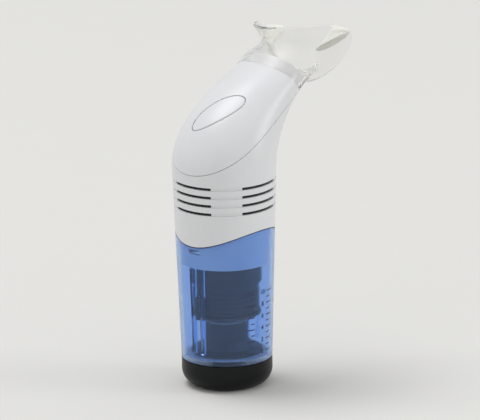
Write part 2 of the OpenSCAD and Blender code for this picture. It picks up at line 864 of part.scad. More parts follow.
// Section points as [share, lift above the sweep, inset of the neck, fixed height or undef]
fillet_shares = [0.03, 0.08, 0.16];
fillet_lifts = [0.6, 0.24, 0.05];
flange_shares = [0.35, 0.6, 0.82, 1];
mouth_section = concat(
    [[0, 0, mouth_wall, 0], [0, 0, 0, 0], [0, 0, 0, neck_straight], [0, -flange_fillet, 0, undef]],
    [for (i = [0:len(fillet_shares) - 1]) [fillet_shares[i], -flange_fillet * fillet_lifts[i], 0, undef]],
    [for (f = flange_shares) [f, 0, 0, undef]],
    [for (i = [len(flange_shares) - 1:-1:0]) [flange_shares[i], flange_t, 0, undef]],
    [[0, flange_t, mouth_wall / 2, undef], [0, 0, mouth_wall, undef], [0, 0, mouth_wall, neck_straight]]);
function mouth_point(p, angle) =
    let (edge = neck_edge(angle, p[2], is_undef(p[3]) ? 1 : 0),
        xy = edge + p[0] * (turned(rim(angle)) - edge),
        back = turned_back(xy),
        z = is_undef(p[3]) ? mouth_l + p[1] + sweep_at(back[1]) - back[0] * tan(flange_lean) : p[3])
    [xy[0], xy[1], z + seam_gap];

module mouth_shell() {
    n = len(mouth_section);
    points = [for (i = [0:mouth_points - 1], p = mouth_section) mouth_point(p, 360 * i / mouth_points)];
    faces = [for (i = [0:mouth_points - 1], k = [0:n - 1])
        let (j = (i + 1) % mouth_points, m = (k + 1) % n)
        each [[i * n + k, j * n + m, j * n + k], [i * n + k, i * n + m, j * n + m]]];
    polyhedron(points, faces, convexity = 10);
}

// Bite tab: a plate that stands out of the flange on one side and grows thicker towards its end
module bite_ball(side, y, rise, r) {
    translate([0, -neck_bend, 0])
        rotate([0, 0, -flange_turn])
            translate([0, side * y, mouth_l + rise])
                sphere(r, $fn = ball_points);
}

module bite_tab(side) {
    r = bite_t / 2;
    root = r + flange_t / 3;
    end_rise = sweep_at(bite_y) + bite_l;
    hull()
        for (y = [bite_y - bite_w / 2, bite_y + bite_w / 2]) {
            bite_ball(side, y, sweep_at(y) + root, r);
            bite_ball(side, y, end_rise, r + bite_lug);
        }
}

module mouthpiece() {
    color("aliceblue", 0.5)
    at_neck()
        union() {
            mouth_shell();
            bite_tab(-1);
            bite_tab(1);
        }
}

main_body();
handle_cover();
load_sleeve();
valve_head();
valve_head_seal();
flap_retainer();
exhale_flap();
inhale_poppet();
poppet_seal();
lead_spindle();
spindle_washer();
spring_washer();
load_spring();
spring_carrier();
drive_hub();
hub_seal();
thrust_washer();
adjuster_knob();
hub_screw();
screw_cover();
mouthpiece();
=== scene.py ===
"""Breathing trainer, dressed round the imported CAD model.

Lengths are in millimetres up to the point where a mesh is made, and MM turns them into metres. The white
shells, the mouthpiece, the spring, the skirt, the small rings and the printed scale are built here. The other
CAD nodes keep their shape and get finished materials.
"""
import math

import bpy
from mathutils import Matrix, Vector


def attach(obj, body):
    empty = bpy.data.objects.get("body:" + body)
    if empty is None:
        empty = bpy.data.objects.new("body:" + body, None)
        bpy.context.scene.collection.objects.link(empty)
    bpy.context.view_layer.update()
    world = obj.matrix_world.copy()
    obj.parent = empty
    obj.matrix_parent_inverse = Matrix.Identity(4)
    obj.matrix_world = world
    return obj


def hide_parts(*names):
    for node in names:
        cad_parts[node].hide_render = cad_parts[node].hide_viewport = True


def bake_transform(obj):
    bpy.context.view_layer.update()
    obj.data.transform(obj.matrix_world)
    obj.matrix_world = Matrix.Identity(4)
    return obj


MM = 0.001
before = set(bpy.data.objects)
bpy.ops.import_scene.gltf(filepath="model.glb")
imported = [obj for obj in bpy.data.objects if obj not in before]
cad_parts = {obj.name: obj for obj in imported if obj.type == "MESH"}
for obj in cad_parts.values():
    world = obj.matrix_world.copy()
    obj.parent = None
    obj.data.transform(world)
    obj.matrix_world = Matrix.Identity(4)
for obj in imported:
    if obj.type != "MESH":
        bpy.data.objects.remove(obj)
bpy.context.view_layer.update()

# Body, in millimetres, as in the CAD model
KNOB_H = 15
FOOT_R = 24
SHOULDER_R = 27.48
SHOULDER_Z = 119
SHELL_WALL = 2.2
SLEEVE_WALL = 2
WAVE_TOP_Z = 88
WAVE_RISE = 8.5
# Height of the dark band that paints the seam's shadow along the wave; the collar's lower edge sits above it
SEAM_SHADOW_HEIGHT = 0.5
SEAM_SINK = 0.05
SEAM_LIFT = 0.02
SEAM_GAP = 0.25
RING_STEPS = 144

# Rounding of the sharp edges
COLLAR_EDGE = 0.14
COVER_EDGE = 0.16
SKIRT_EDGE = 0.12

# Vents
VENT_ROWS = 4
VENT_GROUPS = 4
VENT_ANGLE = 54
VENT_H = 1.6
VENT_WALL = 1.2
VENT_PITCH = 4.6
VENT_TOP_Z = SHOULDER_Z - 6
GROOVE_DEPTH = 0.45
COLLAR_FOOT = 0.9
COLLAR_HEAD = 2.6
# Gap and thickness of the dark ring that paints the shade behind the slots
VENT_SHADE_GAP = 0.12
VENT_SHADE_T = 0.3

# Skirt inside the sleeve, and the windows that its lugs snap into
SKIRT_WALL = 1.5
SKIRT_GAP = 0.12
SKIRT_LOW_Z = 68
SKIRT_TOP_Z = 97
SKIRT_ROWS_Z = (82, 88)
WINDOW_W = 8.5
WINDOW_H = 2.4
WINDOW_Z = 77
LEDGE_LOW_Z = 113.3
LEDGE_HIGH_Z = 115
LEDGE_W = 2.6
LEDGE_SINK = 0.1

# Slip rings inside the sleeve
FLOOR_Z = 17.4
WASHER_R = 15
FLOOR_RING_R = 21.9
HUB_R = 11.5
HUB_TOP_Z = 35
DRIVE_R = 4.2
RING_GAP = 0.4
SLIP_RING_T = 0.3
FLOOR_RING_LIFT = 0.05
HUB_RING_LIFT = 0.02

# Handle
NECK = Vector((34.8, 159))
NECK_TILT = math.radians(53.5)
NECK_W = 21
NECK_H = 12.4
NECK_POWER = 2.1
RIDGE_PULLS = (27.5, 22.5, math.radians(69))
INNER_PULLS = (10.5, 8, math.radians(29))
SEAM_LOW_Z = SHOULDER_Z + 0.5
SEAM_END_SHARE = 0.45
SEAM_BULGE = 2.5
SPIGOT_L = 8
SPIGOT_INSET = 2.5
SPIGOT_WALL = 1.8
SPIGOT_EDGE = 0.5
SPIGOT_ROOT = -3
WEB_T = 1.6
WEB_INSET = 1.2

# Thumb pad outline on the outer bend
PAD_SHARE = 0.494
PAD_L = 32
PAD_W = 13.5
PAD_SIDE = 3
PAD_TURN = math.radians(32)
PAD_LINE = 0.5
PAD_DEPTH = 0.45

# Grid of the cover: coarse and fine steps, and the fine part round the pad's outline
COVER_ANGLE_STEPS = (0.03, 0.0125)
COVER_WAY_STEPS = (0.016, 0.0042)
PAD_ANGLES = (math.pi - 0.42, math.pi + 0.75)
PAD_WAYS = (0.24, 0.74)

# Mouthpiece
MOUTH_WALL = 2.2
MOUTH_L = 15.6
NECK_BEND = 3
NECK_DRAW = 1.2
NECK_STRAIGHT = 6.5
FLANGE_W = 35.5
FLANGE_UP = 19.6
FLANGE_DOWN = 17.6
FLANGE_SWEEP = 18.5
SWEEP_POWER = 2.1
FLANGE_POWER = 1.95
FLANGE_LEAN = math.radians(6)
FLANGE_TURN = math.radians(11.5)
FLANGE_T = 1.6
FLANGE_FILLET = 2.4
BITE_L = 9
BITE_Y = 26.5
BITE_W = 12
BITE_T = 3.2

# Load spring and scale
SPRING_LOW_Z = 57.06
SPRING_HIGH_Z = 94.1
SPRING_R = 10.2
SPRING_WIRE = 1.6
SPRING_TURNS = 9
SPLIT_TURN = 6
WIRE_SIDES = 16
TURN_STEPS = 48
END_TURN_SHARE = 0.1
SCALE_ZERO_Z = 21.3
LEVEL_RISE = 3.27
LEVELS = 10
SCALE_LEFT = (249.5, 259.5)
SCALE_RIGHT = (279.5, 293)
SCALE_NUMBER = 272.3
NUMBER_H = 2.5
NUMBER_BOLD = 0.09
NUMBER_SIZE_SHARE = 1.35
TICK_H = 0.55
TICK_STEPS = 6
ODD_TICK_SHARE = 0.55
INK_STAND = 0.03

# Photograph: pixels to the millimetre, elevation and direction of view, and the point in its middle
PIXELS_PER_MM = 1.889
IMAGE_WIDTH = 480
VIEW_ELEVATION = math.radians(16)
VIEW_SIDE = math.radians(42.5)
VIEW_ROLL = math.radians(0.9)
VIEW_CENTRE = Vector((23.9, 11.0, 87.2))
VIEW_DISTANCE = 5000
SENSOR = 36

# Lights: name, place to the right, away and up in metres, size and power
LIGHT_TARGET = (0, 0, 0.09)
LIGHTS = (
    ("softbox", -1.0, 0.5, 3.2, 1.7, 46.0),
    ("side_fill", 2.6, -0.4, 0.9, 1.0, 16.0),
    ("front_fill", -1.6, -2.4, 0.7, 1.4, 4.0),
)
FLOOR_COLOUR = (0.72, 0.713, 0.686)
FLOOR_HALF = 4000
WORLD_COLOUR = (0.98, 0.985, 1, 1)
WORLD_STRENGTH = 0.66


def body_r(z):
    """Outer radius of the body at height z."""
    return FOOT_R + (z - KNOB_H) * (SHOULDER_R - FOOT_R) / (SHOULDER_Z - KNOB_H)


def lean(angle):
    """Direction in x and z that leans over by an angle."""
    return Vector((math.sin(angle), math.cos(angle)))


def across(angle):
    """Direction in x and z square to lean."""
    return Vector((math.cos(angle), -math.sin(angle)))


def cubic(points, t):
    """Point of a cubic Bezier curve."""
    a, b, c, d = points
    return (1 - t) ** 3 * a + 3 * (1 - t) ** 2 * t * b + 3 * (1 - t) * t * t * c + t ** 3 * d


def handle_curve(side, pulls):
    """Curve of the outer bend (side -1) or the inner bend (side 1) in x and z."""
    start = Vector((side * SHOULDER_R, SHOULDER_Z))
    end = NECK + side * NECK_H * across(NECK_TILT)
    return (start, start + pulls[0] * lean(0), end - pulls[1] * lean(pulls[2]), end)


RIDGE = handle_curve(-1, RIDGE_PULLS)
INNER = handle_curve(1, INNER_PULLS)
SEAM_START = Vector((-SHOULDER_R, SEAM_LOW_Z))
SEAM_END = NECK + SEAM_END_SHARE * NECK_H * across(NECK_TILT)
SEAM_RUN = SEAM_END - SEAM_START


def signed_power(value, power):
    """Cosine or sine reshaped for an oval of the given power."""
    return math.copysign(abs(value) ** (2 / power), value)


def handle_point(angle, t, inset=0.0):
    """Point of the handle's skin at an angle round it and a share t of its length."""
    ridge, inner = cubic(RIDGE, t), cubic(INNER, t)
    middle = (ridge + inner) / 2
    side = (inner - ridge).normalized()
    power = 2 + (NECK_POWER - 2) * t
    half_w = SHOULDER_R + (NECK_W - SHOULDER_R) * t * t * (3 - 2 * t)
    reach = ((inner - ridge).length / 2 - inset) * signed_power(math.cos(angle), power)
    y = (half_w - inset) * signed_power(math.sin(angle), power)
    return Vector((middle.x + side.x * reach, y, middle.y + side.y * reach))


def seam_height(x):
    """Height of the seam above the point x of the body's axis plane."""
    if x >= SEAM_END.x:
        return SEAM_END.y + (x - SEAM_END.x) / math.tan(NECK_TILT)
    share = max(0.0, (x - SEAM_START.x) / SEAM_RUN.x)
    bulge = 4 * share * (1 - share) * SEAM_BULGE * SEAM_RUN.x / SEAM_RUN.length
    return SEAM_START.y + share * SEAM_RUN.y + bulge


def seam_share(angle, lift):
    """Share of the handle's length at which its skin meets the seam moved up by lift."""
    low, high = 0.0, 1.0
    end = handle_point(angle, 1)
    if end.z < seam_height(end.x) + lift:
        return 1.0
    for _ in range(30):
        middle = (low + high) / 2
        point = handle_point(angle, middle)
        if point.z < seam_height(point.x) + lift:
            low = middle
        else:
            high = middle
    return high


def smooth(value):
    """Soft step from 0 to 1."""
    value = min(1.0, max(0.0, value))
    return value * value * (3 - 2 * value)


def pad_groove(point):
    """Depth of the thumb pad's outline at a point of the handle's skin."""
    place = cubic(RIDGE, PAD_SHARE)
    along = (cubic(RIDGE, PAD_SHARE + 0.05) - cubic(RIDGE, PAD_SHARE - 0.05)).normalized()
    u = (point.x - place.x) * along.x + (point.z - place.y) * along.y
    v = -(point.y + PAD_SIDE)
    a = u * math.cos(PAD_TURN) + v * math.sin(PAD_TURN)
    b = v * math.cos(PAD_TURN) - u * math.sin(PAD_TURN)
    if point.x > place.x + PAD_L or math.hypot(a, b) > PAD_L:
        return 0.0
    k = math.hypot(a / (PAD_L / 2), b / (PAD_W / 2))
    gradient = math.hypot(a / (PAD_L / 2) ** 2, b / (PAD_W / 2) ** 2) / max(k, 1e-6)
    distance = abs(k - 1) / max(gradient, 1e-6)
    return PAD_DEPTH * smooth(1 - distance / PAD_LINE)


def neck_point(x, y, z):
    """Point given on the handle's end plane, with z along the mouthpiece."""
    side, up = across(NECK_TILT), lean(NECK_TILT)
    return Vector((NECK.x + x * side.x + z * up.x, y, NECK.y + x * side.y + z * up.y))


def make_object(name, points, faces, material, smooth_angle=40):
    """Mesh object from points in millimetres, with smooth shading up to an angle."""
    mesh = bpy.data.meshes.new(name)
    mesh.from_pydata([Vector(p) * MM for p in points], [], faces)
    mesh.validate()
    obj = bpy.data.objects.new(name, mesh)
    bpy.context.scene.collection.objects.link(obj)
    mesh.materials.append(material)
    mesh.shade_smooth()
    mesh.set_sharp_from_angle(angle=math.radians(smooth_angle))
    return obj


def bevel(obj, width, segments=2, angle=35):
    """Rounds the sharp edges of a piece."""
    modifier = obj.modifiers.new("edge_round", "BEVEL")
    modifier.width = width * MM
    modifier.segments = segments
    modifier.limit_method = "ANGLE"
    modifier.angle_limit = math.radians(angle)
    modifier.harden_normals = True


def place(obj, body, slot):
    """Rides a piece on its body. The slot argument is not used."""
    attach(obj, body)


# Materials

RAMP_START = 0.3
RAMP_END = 0.7
GLOSS_SPREAD = 0.06


def node_material(name):
    """New material with its nodes and links."""
    material = bpy.data.materials.new(name)
    material.use_nodes = True
    return material, material.node_tree.nodes, material.node_tree.links


def noise_node(nodes, links, scale, detail=3.0, stretch=(1, 1, 1)):
    """Noise in the object's own space, with scale in cells to the metre."""
    coordinates = nodes.new("ShaderNodeTexCoord")
    mapping = nodes.new("ShaderNodeMapping")
    mapping.inputs["Scale"].default_value = stretch
    noise = nodes.new("ShaderNodeTexNoise")
    noise.inputs["Scale"].default_value = scale
    noise.inputs["Detail"].default_value = detail
    links.new(coordinates.outputs["Object"], mapping.inputs["Vector"])
    links.new(mapping.outputs["Vector"], noise.inputs["Vector"])
    return noise


def ramp_node(nodes, links, source, low, high):
    """Colour that runs between two tones."""
    ramp = nodes.new("ShaderNodeValToRGB")
    ramp.color_ramp.elements[0].position = RAMP_START
    ramp.color_ramp.elements[0].color = (*low, 1)
    ramp.color_ramp.elements[1].position = RAMP_END
    ramp.color_ramp.elements[1].color = (*high, 1)
    links.new(source.outputs["Fac"], ramp.inputs["Fac"])
    return ramp


def gloss_node(nodes, links, source, low, high):
    """Roughness that runs between two values."""
    gloss = nodes.new("ShaderNodeMapRange")
    gloss.inputs["To Min"].default_value = low
    gloss.inputs["To Max"].default_value = high
    links.new(source.outputs["Fac"], gloss.inputs["Value"])
    return gloss


def bump_node(nodes, links, source, distance):
    """Relief of the given depth in millimetres."""
    bump = nodes.new("ShaderNodeBump")
    bump.inputs["Distance"].default_value = distance * MM
    bump.inputs["Strength"].default_value = 1.0
    links.new(source.outputs["Fac"], bump.inputs["Height"])
    return bump


def moulded_plastic(name, low, high, roughness, grain=0.01, grain_scale=2600):
    """Moulded plastic: faint mottling, a fine satin grain and uneven gloss."""
    material, nodes, links = node_material(name)
    shader = nodes["Principled BSDF"]
    mottle = noise_node(nodes, links, 60)
    grain_noise = noise_node(nodes, links, grain_scale, 2)
    colour = ramp_node(nodes, links, mottle, low, high)
    gloss = gloss_node(nodes, links, mottle, roughness - GLOSS_SPREAD, roughness + GLOSS_SPREAD)
    links.new(colour.outputs["Color"], shader.inputs["Base Color"])
    links.new(gloss.outputs["Result"], shader.inputs["Roughness"])
    links.new(bump_node(nodes, links, grain_noise, grain).outputs["Normal"], shader.inputs["Normal"])
    return material


def white_plastic():
    """Satin white moulding with a little light passing under its skin."""
    material = moulded_plastic("white_satin", (0.71, 0.715, 0.73), (0.73, 0.735, 0.745), 0.36, 0.006)
    shader = material.node_tree.nodes["Principled BSDF"]
    shader.inputs["Subsurface Weight"].default_value = 0.12
    shader.inputs["Subsurface Radius"].default_value = (1, 0.95, 0.9)
    shader.inputs["Subsurface Scale"].default_value = 1.2 * MM
    return material


def frosted_blue():
    """Translucent blue moulding with a fine frosted skin."""
    material, nodes, links = node_material("frosted_blue")
    shader = nodes["Principled BSDF"]
    mottle = noise_node(nodes, links, 45)
    frost = noise_node(nodes, links, 2200, 2)
    colour = ramp_node(nodes, links, mottle, (0.47, 0.65, 1.0), (0.51, 0.69, 1.0))
    gloss = gloss_node(nodes, links, mottle, 0.13, 0.18)
    links.new(colour.outputs["Color"], shader.inputs["Base Color"])
    links.new(gloss.outputs["Result"], shader.inputs["Roughness"])
    links.new(bump_node(nodes, links, frost, 0.004).outputs["Normal"], shader.inputs["Normal"])
    shader.inputs["Transmission Weight"].default_value = 0.94
    shader.inputs["IOR"].default_value = 1.22
    shader.inputs["Specular IOR Level"].default_value = 0.35
    return material


def clear_silicone(name, colour, roughness, transmission):
    """Soft clear rubber with a slightly cloudy body."""
    material, nodes, links = node_material(name)
    shader = nodes["Principled BSDF"]
    cloud = noise_node(nodes, links, 90)
    skin = noise_node(nodes, links, 900, 3)
    tint = ramp_node(nodes, links, cloud, tuple(0.97 * c for c in colour), colour)
    gloss = gloss_node(nodes, links, cloud, roughness - 0.03, roughness + 0.05)
    links.new(tint.outputs["Color"], shader.inputs["Base Color"])
    links.new(gloss.outputs["Result"], shader.inputs["Roughness"])
    links.new(bump_node(nodes, links, skin, 0.01).outputs["Normal"], shader.inputs["Normal"])
    shader.inputs["Transmission Weight"].default_value = transmission
    shader.inputs["IOR"].default_value = 1.16
    return material


def turned_metal(name, low, high, roughness):
    """Metal with fine rings left by turning or drawing."""
    material, nodes, links = node_material(name)
    shader = nodes["Principled BSDF"]
    lines = noise_node(nodes, links, 300, 2, (1, 1, 14))
    colour = ramp_node(nodes, links, lines, low, high)
    gloss = gloss_node(nodes, links, lines, roughness - 0.06, roughness + 0.08)
    links.new(colour.outputs["Color"], shader.inputs["Base Color"])
    links.new(gloss.outputs["Result"], shader.inputs["Roughness"])
    links.new(bump_node(nodes, links, lines, 0.01).outputs["Normal"], shader.inputs["Normal"])
    shader.inputs["Metallic"].default_value = 1
    return material


WHITE = white_plastic()
BLUE = frosted_blue()
BLACK = moulded_plastic("black_soft_touch", (0.004, 0.005, 0.005), (0.006, 0.007, 0.007), 0.38, 0.012)
BLACK.node_tree.nodes["Principled BSDF"].inputs["Specular IOR Level"].default_value = 0.18
DARK = moulded_plastic("dark_moulding", (0.012, 0.014, 0.018), (0.018, 0.02, 0.026), 0.5, 0.02, 1500)
GREY = moulded_plastic("grey_moulding", (0.5, 0.51, 0.52), (0.56, 0.57, 0.58), 0.45, 0.015, 1800)
SEAL = moulded_plastic("seal_rubber", (0.02, 0.02, 0.02), (0.035, 0.035, 0.035), 0.6, 0.03, 1200)
INK = moulded_plastic("navy_ink", (0.004, 0.01, 0.06), (0.006, 0.014, 0.075), 0.4, 0.004)
SILICONE = clear_silicone("clear_silicone", (0.975, 0.975, 0.965), 0.16, 0.93)
THICK_SILICONE = clear_silicone("thick_silicone", (0.97, 0.97, 0.9), 0.3, 0.12)
# Paler copy of the white moulding for the spigot, the skirt and the slip rings: the white plastic's colour with
# painted light added, so that they read lit through the blue sleeve and the clear rubber.
LIT_INNER_WHITE = moulded_plastic("lit_inner_white", (0.9, 0.905, 0.91), (0.93, 0.935, 0.94), 0.4, 0.006)
# Grey for the faces deep in the thumb pad's groove: painted shade in the groove.
PAINTED_GROOVE_SHADE = moulded_plastic("painted_groove_shade", (0.26, 0.265, 0.275), (0.3, 0.305, 0.31), 0.6, 0.006)
# Near-black ring behind the slots: painted shade inside the vents.
VENT_SHADE_PAINT = moulded_plastic("vent_screen", (0.006, 0.007, 0.009), (0.012, 0.013, 0.016), 0.7, 0.05, 900)
# Dark navy for the band along the wave: painted shadow of the seam's gap.
SEAM_SHADOW_PAINT = moulded_plastic("seam_ring", (0.008, 0.016, 0.09), (0.012, 0.022, 0.11), 0.4, 0.006)
VALVE_RUBBER = clear_silicone("valve_silicone", (0.8, 0.86, 0.9), 0.3, 0.5)
STEEL = turned_metal("drawn_steel", (0.5, 0.51, 0.52), (0.62, 0.63, 0.64), 0.28)
BRASS = turned_metal("turned_brass", (0.6, 0.45, 0.2), (0.72, 0.56, 0.28), 0.3)

NODE_MATERIALS = {
    "load_sleeve": BLUE,
    "valve_head": GREY,
    "valve_head_seal": SEAL,
    "flap_retainer": GREY,
    "exhale_flap": VALVE_RUBBER,
    "inhale_poppet": GREY,
    "poppet_seal": VALVE_RUBBER,
    "lead_spindle": STEEL,
    "spindle_washer": BRASS,
    "spring_washer": STEEL,
    "spring_carrier": DARK,
    "drive_hub": DARK,
    "hub_seal": SEAL,
    "thrust_washer": GREY,
    "adjuster_knob": BLACK,
    "hub_screw": STEEL,
    "screw_cover": BLACK,
}


def finish_nodes():
    """Gives the CAD nodes that stay visible their materials and smooth shading."""
    for name, material in NODE_MATERIALS.items():
        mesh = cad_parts[name].data
        mesh.materials.clear()
        mesh.materials.append(material)
        mesh.shade_smooth()
        mesh.set_sharp_from_angle(angle=math.radians(32))


# White shells

COLUMN_STEP = 1.5
COLUMNS = int(360 / COLUMN_STEP)
WAVE_ROWS = 6
HANDLE_ROWS = 44
OUTER, GROOVE, INSIDE = 0, 1, 2


def wave_height(angle, gap):
    """Height of the collar's wavy lower edge, which a level cylinder cuts in the body."""
    radius = body_r(WAVE_TOP_Z)
    cut_r = (radius * radius + WAVE_RISE * WAVE_RISE) / (2 * WAVE_RISE)
    cut_z = WAVE_TOP_Z - cut_r
    z = WAVE_TOP_Z
    for _ in range(4):
        x = body_r(z) * math.cos(angle)
        z = cut_z + math.sqrt((cut_r + gap) ** 2 - x * x)
    return z


def collar_heights():
    """Row heights of the collar above the wave, with a mark for the rows of slots."""
    rows = []
    low_z = VENT_TOP_Z - (VENT_ROWS - 1) * VENT_PITCH - VENT_H / 2
    for row in range(VENT_ROWS):
        rows += [(low_z + row * VENT_PITCH, True), (low_z + row * VENT_PITCH + VENT_H, False)]
        if row < VENT_ROWS - 1:
            rows.append((low_z + row * VENT_PITCH + (VENT_PITCH + VENT_H) / 2, False))
    rows += [(VENT_TOP_Z + VENT_H / 2 + COLLAR_HEAD, False), (SHOULDER_Z, False)]
    return rows


def slot_open(column):
    """Whether a column of the grid lies in one of the groups of slots."""
    spacing = 360 / VENT_GROUPS
    angle = (column + 0.5) * COLUMN_STEP
    return abs((angle + spacing / 2) % spacing - spacing / 2) < VENT_ANGLE / 2


def grid_shell(name, rows, columns, closed, point, state, material):
    """Closed shell on a grid. point(row, column, layer) gives the skins, and state(row, column) says what a
    cell is: OUTER for full wall, GROOVE for a shallow recess, INSIDE for an opening."""
    index, points, faces = {}, [], []

    def corner(row, column, layer):
        key = (row, column % columns if closed else column, layer)
        if key not in index:
            index[key] = len(points)
            points.append(point(*key))
        return index[key]

    def cell(row, column):
        if not 0 <= row < rows - 1:
            return INSIDE
        if closed:
            return state(row, column % columns)
        return state(row, column) if 0 <= column < columns - 1 else INSIDE

    def wall(a, b, first, second, flip):
        for layer in range(first, second):
            face = [corner(*a, layer), corner(*b, layer), corner(*b, layer + 1), corner(*a, layer + 1)]
            faces.append(face[::-1] if flip else face)

    spans = columns if closed else columns - 1
    for row in range(rows - 1):
        for column in range(spans):
            kind = cell(row, column)
            if kind != INSIDE:
                a, b, c, d = (row, column), (row, column + 1), (row + 1, column + 1), (row + 1, column)
                faces.append([corner(*p, kind) for p in (a, b, c, d)])
                faces.append([corner(*p, INSIDE) for p in (d, c, b, a)])
    for row in range(rows):
        for column in range(spans):
            below, above = cell(row - 1, column), cell(row, column)
            if below != above:
                a, b = (row, column), (row, column + 1)
                wall(a, b, min(below, above), max(below, above), above > below)
    for row in range(rows - 1):
        for column in range(spans + (0 if closed else 1)):
            before, after = cell(row, column - 1), cell(row, column)
            if before != after:
                a, b = (row, column), (row + 1, column)
                wall(a, b, min(before, after), max(before, after), after < before)
    return make_object(name, points, faces, material)


def body_shell():
    """Vented collar with its wavy lower edge, and the handle's rear half up to the seam."""
    heights = collar_heights()
    first = WAVE_ROWS
    handle_first = first + len(heights)
    rows = handle_first + HANDLE_ROWS
    angles = [math.radians(COLUMN_STEP * column) for column in range(COLUMNS)]
    shares = [seam_share(angle, -SEAM_GAP / 2) for angle in angles]
    waves = [wave_height(angle, SEAM_SHADOW_HEIGHT + SEAM_GAP / 5) for angle in angles]

    def point(row, column, layer):
        angle = angles[column]
        inset = (0, GROOVE_DEPTH, SHELL_WALL)[layer]
        if row < handle_first:
            if layer == INSIDE and first <= row < handle_first - 1:
                inset = VENT_WALL
            if row < first:
                share = row / first
                z = waves[column] + share * (heights[0][0] - COLLAR_FOOT - waves[column])
            else:
                z = heights[row - first][0]
            radius = body_r(z) - inset
            return (radius * math.cos(angle), radius * math.sin(angle), z)
        share = (row - handle_first + 1) / HANDLE_ROWS
        return handle_point(angle, shares[column] * share, inset)

    def state(row, column):
        vent = first <= row < handle_first and heights[row - first][1]
        if not vent:
            return OUTER
        return INSIDE if slot_open(column) else GROOVE

    shell = grid_shell("body_shell", rows, COLUMNS, True, point, state, WHITE)
    bevel(shell, COLLAR_EDGE)
    place(shell, "root", "white_shell")
    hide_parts("main_body")


def spaced(low, high, dense_low, dense_high, coarse, fine):
    """Values from low to high, closer together between the two dense ends."""
    values = []
    spans = ((low, dense_low, coarse), (dense_low, dense_high, fine), (dense_high, high, coarse))
    for start, end, step in spans:
        count = max(1, round((end - start) / step))
        values += [start + (end - start) * i / count for i in range(count)]
    return values + [high]


def cover_shell():
    """Front half of the handle above the seam, with the thumb pad's outline, whose deep faces take a grey that
    paints the groove's shade.
    """
    end_cos = SEAM_END_SHARE ** (NECK_POWER / 2)
    start = math.acos(end_cos) + math.radians(0.6)
    angles = spaced(start, 2 * math.pi - start, *PAD_ANGLES, *COVER_ANGLE_STEPS)
    ways = spaced(0, 1, *PAD_WAYS, *COVER_WAY_STEPS)
    shares = [min(seam_share(angle, SEAM_GAP / 2), 0.999) for angle in angles]

    def point(row, column, layer):
        angle = angles[column]
        t = shares[column] + (1 - shares[column]) * ways[row]
        inset = (0, SHELL_WALL / 2, SHELL_WALL)[layer]
        if layer == OUTER:
            inset = pad_groove(handle_point(angle, t))
        return handle_point(angle, t, inset)

    def state(row, column):
        return OUTER

    shell = grid_shell("cover_shell", len(ways), len(angles), False, point, state, WHITE)
    # Faces deep in the pad's groove take the grey: painted shade in the groove.
    shell.data.materials.append(PAINTED_GROOVE_SHADE)
    for face in shell.data.polygons:
        if pad_groove(face.center / MM) > 0.5 * PAD_DEPTH:
            face.material_index = 1
    bevel(shell, COVER_EDGE)
    place(shell, "root", "white_shell")
    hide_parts("handle_cover")


def oval(angle, half_h, half_w, power=NECK_POWER):
    """Point of an oval at an angle round it."""
    return half_h * signed_power(math.cos(angle), power), half_w * signed_power(math.sin(angle), power)


def swept_tube(name, section, count, point, material):
    """Closed ring of a section: section is a list of keys that point(key, angle) places."""
    n = len(section)
    angles = [2 * math.pi * i / count for i in range(count)]
    points = [point(key, angle) for angle in angles for key in section]
    faces = []
    for i in range(count):
        j = (i + 1) % count
        for k in range(n):
            m = (k + 1) % n
            faces.append((i * n + k, j * n + k, j * n + m, i * n + m))
    return make_object(name, points, faces, material)


def spigot():
    """Oval tube that the mouthpiece sits on, with the web that joins it to the handle's end."""
    inner = SPIGOT_INSET + SPIGOT_WALL
    web_z = SPIGOT_ROOT + WEB_T
    section = [(SPIGOT_INSET, SPIGOT_L - SPIGOT_EDGE), (SPIGOT_INSET + SPIGOT_EDGE, SPIGOT_L),
               (inner - SPIGOT_EDGE, SPIGOT_L), (inner, SPIGOT_L - SPIGOT_EDGE), (inner, SPIGOT_ROOT),
               (WEB_INSET, SPIGOT_ROOT), (WEB_INSET, web_z), (SPIGOT_INSET, web_z)]

    def point(key, angle):
        x, y = oval(angle, NECK_H - key[0], NECK_W - key[0])
        return neck_point(x, y, key[1])

    # The spigot takes the paler white, which paints light onto it.
    tube = swept_tube("spigot", section[::-1], RING_STEPS, point, LIT_INNER_WHITE)
    place(tube, "root", "white_shell")


def skirt():
    """Skirt inside the sleeve with its two latch windows."""
    heights = [SKIRT_LOW_Z, WINDOW_Z - WINDOW_H / 2, WINDOW_Z + WINDOW_H / 2, *SKIRT_ROWS_Z, SKIRT_TOP_Z]
    half_angle = math.degrees(WINDOW_W / 2 / body_r(WINDOW_Z))

    def point(row, column, layer):
        angle = math.radians(column * COLUMN_STEP)
        z = heights[row]
        radius = body_r(z) - SLEEVE_WALL - SKIRT_GAP - layer * SKIRT_WALL / 2
        return (radius * math.cos(angle), radius * math.sin(angle), z)

    def state(row, column):
        angle = (column + 0.5) * COLUMN_STEP
        near = abs((angle + 90) % 180 - 90)
        return INSIDE if row == 1 and near < half_angle else OUTER

    # The skirt takes the paler white, which paints light onto it.
    shell = grid_shell("collar_skirt", len(heights), COLUMNS, True, point, state, LIT_INNER_WHITE)
    bevel(shell, SKIRT_EDGE)
    place(shell, "root", "white_shell")


def seam_ring():
    """Dark ring along the wave, where the sleeve's edge meets the collar: it paints the shadow of the seam's
    gap.
    """
    def point(key, angle):
        z = wave_height(angle, key[1])
        radius = body_r(z) - key[0]
        return (radius * math.cos(angle), radius * math.sin(angle), z)

    near, far = SEAM_SINK, SLEEVE_WALL
    section = [(near, SEAM_LIFT), (far, SEAM_LIFT), (far, SEAM_SHADOW_HEIGHT), (near, SEAM_SHADOW_HEIGHT)]
    ring = swept_tube("seam_ring", section, 180, point, SEAM_SHADOW_PAINT)
    place(ring, "root", "seal_rubber")


